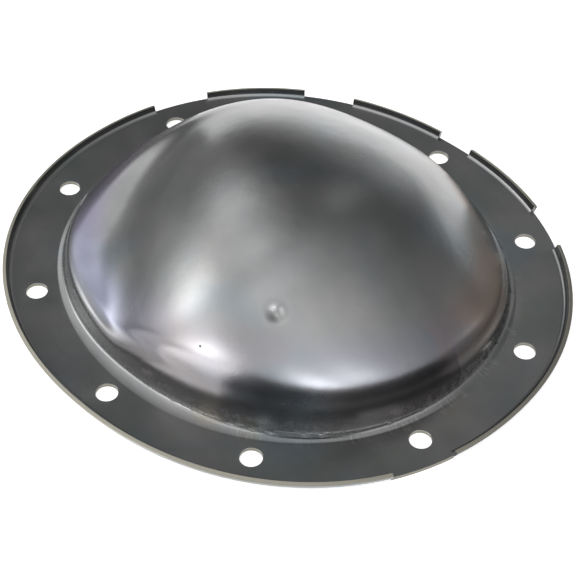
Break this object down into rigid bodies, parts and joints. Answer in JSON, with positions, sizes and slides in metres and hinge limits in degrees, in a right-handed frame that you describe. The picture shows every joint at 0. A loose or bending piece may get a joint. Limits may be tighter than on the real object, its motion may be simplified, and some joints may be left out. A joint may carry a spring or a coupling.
{
  "type": "differential cover",
  "caption": "Stamped steel differential cover: an oval bolt flange with a notched, upturned lip round a deep, lopsided dome that clears the ring gear.",
  "frame": {"origin": "centre of the bolt pattern, on the gasket face", "axes": "+X along the flange's long way, towards the dome's long slope; +Z out of the axle, towards the dome's crest"},
  "size_m": [0.2783, 0.2597, 0.0694],
  "materials": {
    "plated_steel": "satin"
  },
  "bodies": {
    "root": {"differential_cover": "plated_steel"}
  },
  "joints": []
}
